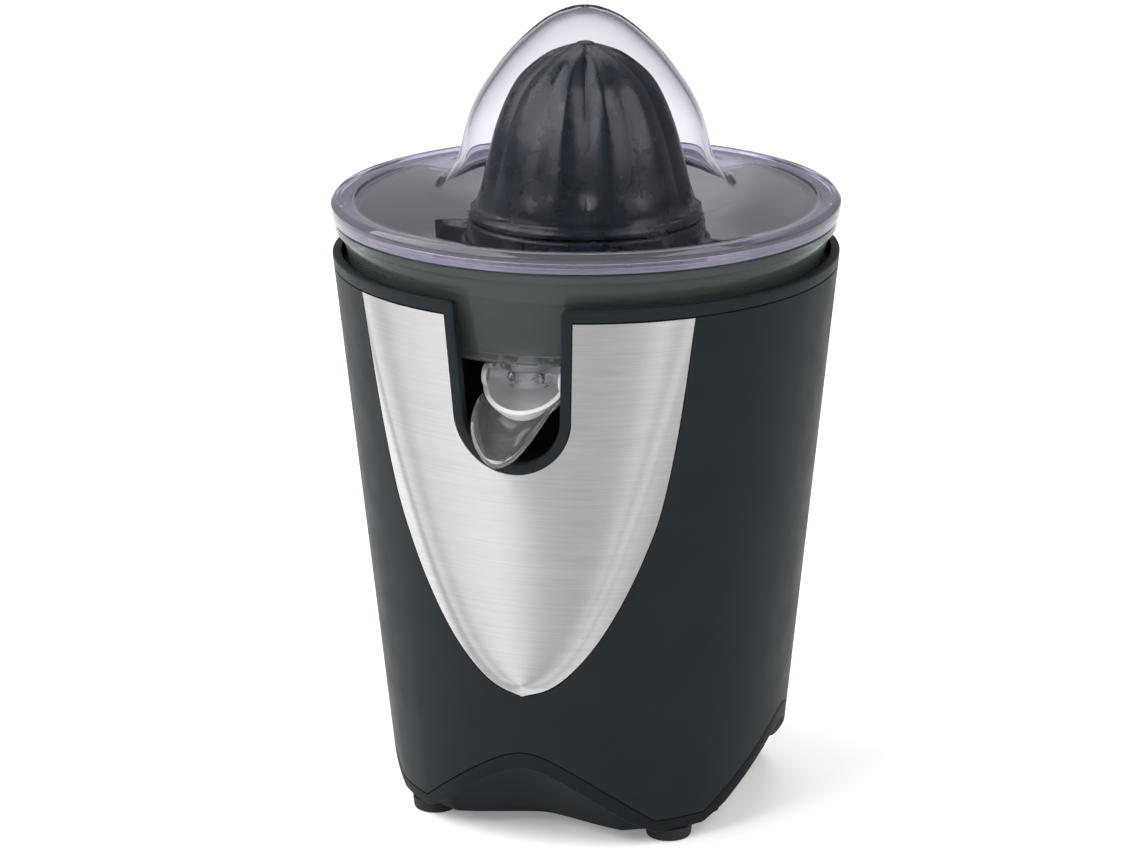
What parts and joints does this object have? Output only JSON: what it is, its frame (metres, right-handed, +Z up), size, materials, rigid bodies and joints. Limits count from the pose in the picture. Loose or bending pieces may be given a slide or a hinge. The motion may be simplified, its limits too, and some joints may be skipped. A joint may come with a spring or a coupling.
{
  "type": "citrus press juicer",
  "caption": "Tapered electric citrus press with a ribbed reamer under a clear domed lid, a smoked juice bowl, a tilting front spout and a steel front panel.",
  "frame": {"origin": "middle of the footprint's bounding box at worktop level; the drive axis stands 4.9 mm behind it", "axes": "+Z up along the drive axis, front with the spout towards -Y, +X to the right of someone looking along +Y"},
  "size_m": [0.1564, 0.1662, 0.2498],
  "materials": {
    "shell_plastic": "satin moulded plastic, dark blue-grey",
    "dark_plastic": "fine matt moulded plastic, near black",
    "reamer_plastic": "satin moulded plastic, blue-black",
    "smoked_plastic": "translucent smoked plastic, grey-green",
    "clear_plastic": "clear plastic with a faint lavender tint in thick edges",
    "white_silicone": "milky white soft-touch moulding",
    "brushed_steel": "horizontally brushed stainless sheet",
    "foot_rubber": "matt black rubber",
    "steel": "plain bright steel",
    "laminated_steel": "varnished steel laminations",
    "copper_wire": "enamelled copper wire",
    "sintered_bronze": "sintered bronze",
    "natural_nylon": "natural nylon",
    "white_nylon": "white nylon",
    "frame_plastic": "glass-filled dark grey plastic"
  },
  "bodies": {
    "motor_base": {"base_cover": "dark_plastic", "foot_front_left": "foot_rubber", "foot_front_right": "foot_rubber", "foot_rear_left": "foot_rubber", "foot_rear_right": "foot_rubber", "base_screw_front_left": "steel", "base_screw_front_right": "steel", "base_screw_rear_left": "steel", "base_screw_rear_right": "steel", "outer_shell": "shell_plastic", "steel_front_panel": "brushed_steel", "top_ring": "shell_plastic", "top_deck": "dark_plastic", "deck_screw_1": "steel", "deck_screw_2": "steel", "deck_screw_3": "steel", "deck_screw_4": "steel", "shaft_bush": "sintered_bronze", "shaft_seal": "foot_rubber", "gearbox_tray": "frame_plastic", "gearbox_cover": "frame_plastic", "cover_screw_1": "steel", "cover_screw_2": "steel", "cover_screw_3": "steel", "gear_pin_a": "steel", "gear_pin_b": "steel", "stator_stack": "laminated_steel", "coil_bobbin": "natural_nylon", "coil_winding": "copper_wire", "lower_bearing_bracket": "steel", "upper_bearing_bracket": "steel", "lower_motor_bush": "sintered_bronze", "upper_motor_bush": "sintered_bronze", "motor_screw_left": "steel", "motor_screw_right": "steel", "microswitch": "dark_plastic", "terminal_block": "white_nylon", "cord_gland": "foot_rubber", "cord_clamp": "frame_plastic", "clamp_screw_left": "steel", "clamp_screw_right": "steel"},
    "output_gear": {"output_gear": "natural_nylon", "return_spring": "steel"},
    "drive_shaft": {"drive_shaft": "steel"},
    "gear_b": {"compound_gear_b": "white_nylon"},
    "gear_a": {"compound_gear_a": "white_nylon"},
    "motor_rotor": {"rotor": "laminated_steel", "rotor_shaft": "steel", "motor_pinion": "natural_nylon", "cooling_fan": "white_nylon"},
    "switch_plunger": {"switch_plunger": "white_nylon"},
    "juice_bowl": {"juice_bowl": "smoked_plastic"},
    "spout": {"spout_valve": "white_silicone", "spout_lip": "clear_plastic"},
    "strainer": {"pulp_strainer": "smoked_plastic"},
    "sweeper": {"pulp_sweeper": "reamer_plastic"},
    "cone_hub": {"cone_hub": "reamer_plastic"},
    "reamer_cone": {"reamer_cone": "reamer_plastic"},
    "lid": {"dome_lid": "clear_plastic"}
  },
  "joints": [
    {"name": "cone_spin", "type": "hinge", "parent": "strainer", "child": "sweeper", "pos_m": [0, 0.0049, 0.1755], "axis": [0, 0, 1], "continuous": true},
    {"name": "cone_press", "type": "slide", "parent": "sweeper", "child": "cone_hub", "axis": [0, 0, 1], "range_m": [-0.0025, 0], "stiffness_N_per_m": 900, "springref_m": 0.006},
    {"name": "cone_lift", "type": "slide", "parent": "cone_hub", "child": "reamer_cone", "axis": [0, 0, 1], "range_m": [0, 0.006]},
    {"name": "lid_lift", "type": "slide", "parent": "strainer", "child": "lid", "axis": [0, 0, 1], "range_m": [0, 0.08]},
    {"name": "strainer_lift", "type": "slide", "parent": "juice_bowl", "child": "strainer", "axis": [0, 0, 1], "range_m": [0, 0.05]},
    {"name": "bowl_lift", "type": "slide", "parent": "motor_base", "child": "juice_bowl", "axis": [0, 0, 1], "range_m": [0, 0.06]},
    {"name": "spout_tilt", "type": "hinge", "parent": "juice_bowl", "child": "spout", "pos_m": [0, -0.0546, 0.1495], "axis": [-1, 0, 0], "range_deg": [0, 45]},
    {"name": "output_spin", "type": "hinge", "parent": "motor_base", "child": "output_gear", "pos_m": [0, 0.0049, 0.1275], "axis": [0, 0, 1], "continuous": true},
    {"name": "shaft_press", "type": "slide", "parent": "output_gear", "child": "drive_shaft", "axis": [0, 0, 1], "range_m": [-0.0025, 0], "deforming": ["return_spring"]},
    {"name": "gear_b_spin", "type": "hinge", "parent": "motor_base", "child": "gear_b", "pos_m": [0, 0.0349, 0.12], "axis": [0, 0, 1], "continuous": true},
    {"name": "gear_a_spin", "type": "hinge", "parent": "motor_base", "child": "gear_a", "pos_m": [-0.024, 0.0349, 0.115], "axis": [0, 0, 1], "continuous": true},
    {"name": "motor_spin", "type": "hinge", "parent": "motor_base", "child": "motor_rotor", "pos_m": [0, 0.0249, 0.069], "axis": [0, 0, 1], "continuous": true},
    {"name": "switch_press", "type": "slide", "parent": "motor_base", "child": "switch_plunger", "axis": [0, 0, 1], "range_m": [-0.0025, 0]}
  ],
  "couplings": [
    {"joint": "cone_spin", "follows": "motor_spin", "ratio": -0.025},
    {"joint": "output_spin", "follows": "motor_spin", "ratio": -0.025},
    {"joint": "gear_b_spin", "follows": "motor_spin", "ratio": 0.1},
    {"joint": "gear_a_spin", "follows": "motor_spin", "ratio": -0.3},
    {"joint": "shaft_press", "follows": "cone_press", "ratio": 1},
    {"joint": "switch_press", "follows": "cone_press", "ratio": 1}
  ]
}
